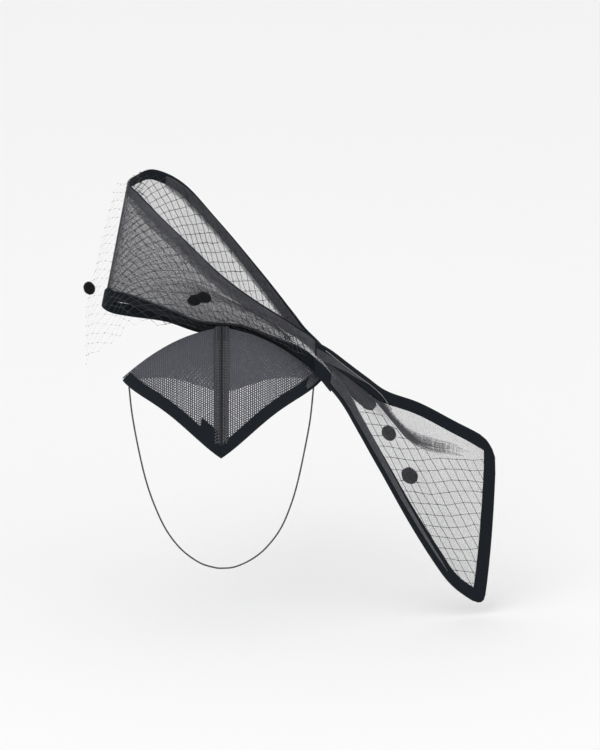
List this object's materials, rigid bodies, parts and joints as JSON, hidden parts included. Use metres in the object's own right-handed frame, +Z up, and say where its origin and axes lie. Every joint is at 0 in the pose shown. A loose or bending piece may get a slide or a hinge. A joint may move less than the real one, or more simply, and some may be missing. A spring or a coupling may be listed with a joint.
{
  "type": "bow headpiece",
  "caption": "Small pointed net cap worn on the crown, with a large velvet-edged mesh bow, dotted veiling and a hat elastic.",
  "frame": {"origin": "the inside of the cap's crown, where it sits on a head", "axes": "x to the wearer's left, along the cap's side corners towards the bow's tail; y towards the back corner; z up, away from the head"},
  "size_m": [0.3708, 0.1726, 0.3988],
  "materials": {
    "cap_net": "matte",
    "bow_mesh": "matte",
    "veil_net": "matte",
    "velvet": "matte",
    "chenille": "matte",
    "elastic": "matte"
  },
  "bodies": {
    "root": {"cap_panel_left": "cap_net", "cap_panel_right": "cap_net", "cap_seam_tape": "cap_net", "cap_binding": "velvet", "cap_binding_end": "velvet", "hat_elastic": "elastic", "bow_loop": "bow_mesh", "bow_loop_top_ribbon": "velvet", "bow_loop_bottom_binding": "velvet", "bow_tail": "bow_mesh", "bow_tail_binding": "velvet", "bow_ribbon_end": "velvet", "bow_tack": "elastic", "loop_veil": "veil_net", "tail_veil": "veil_net", "veil_dot_left": "chenille", "veil_dot_middle_outer": "chenille", "veil_dot_middle_inner": "chenille", "veil_dot_tail_upper": "chenille", "veil_dot_tail_lower": "chenille"}
  },
  "joints": []
}
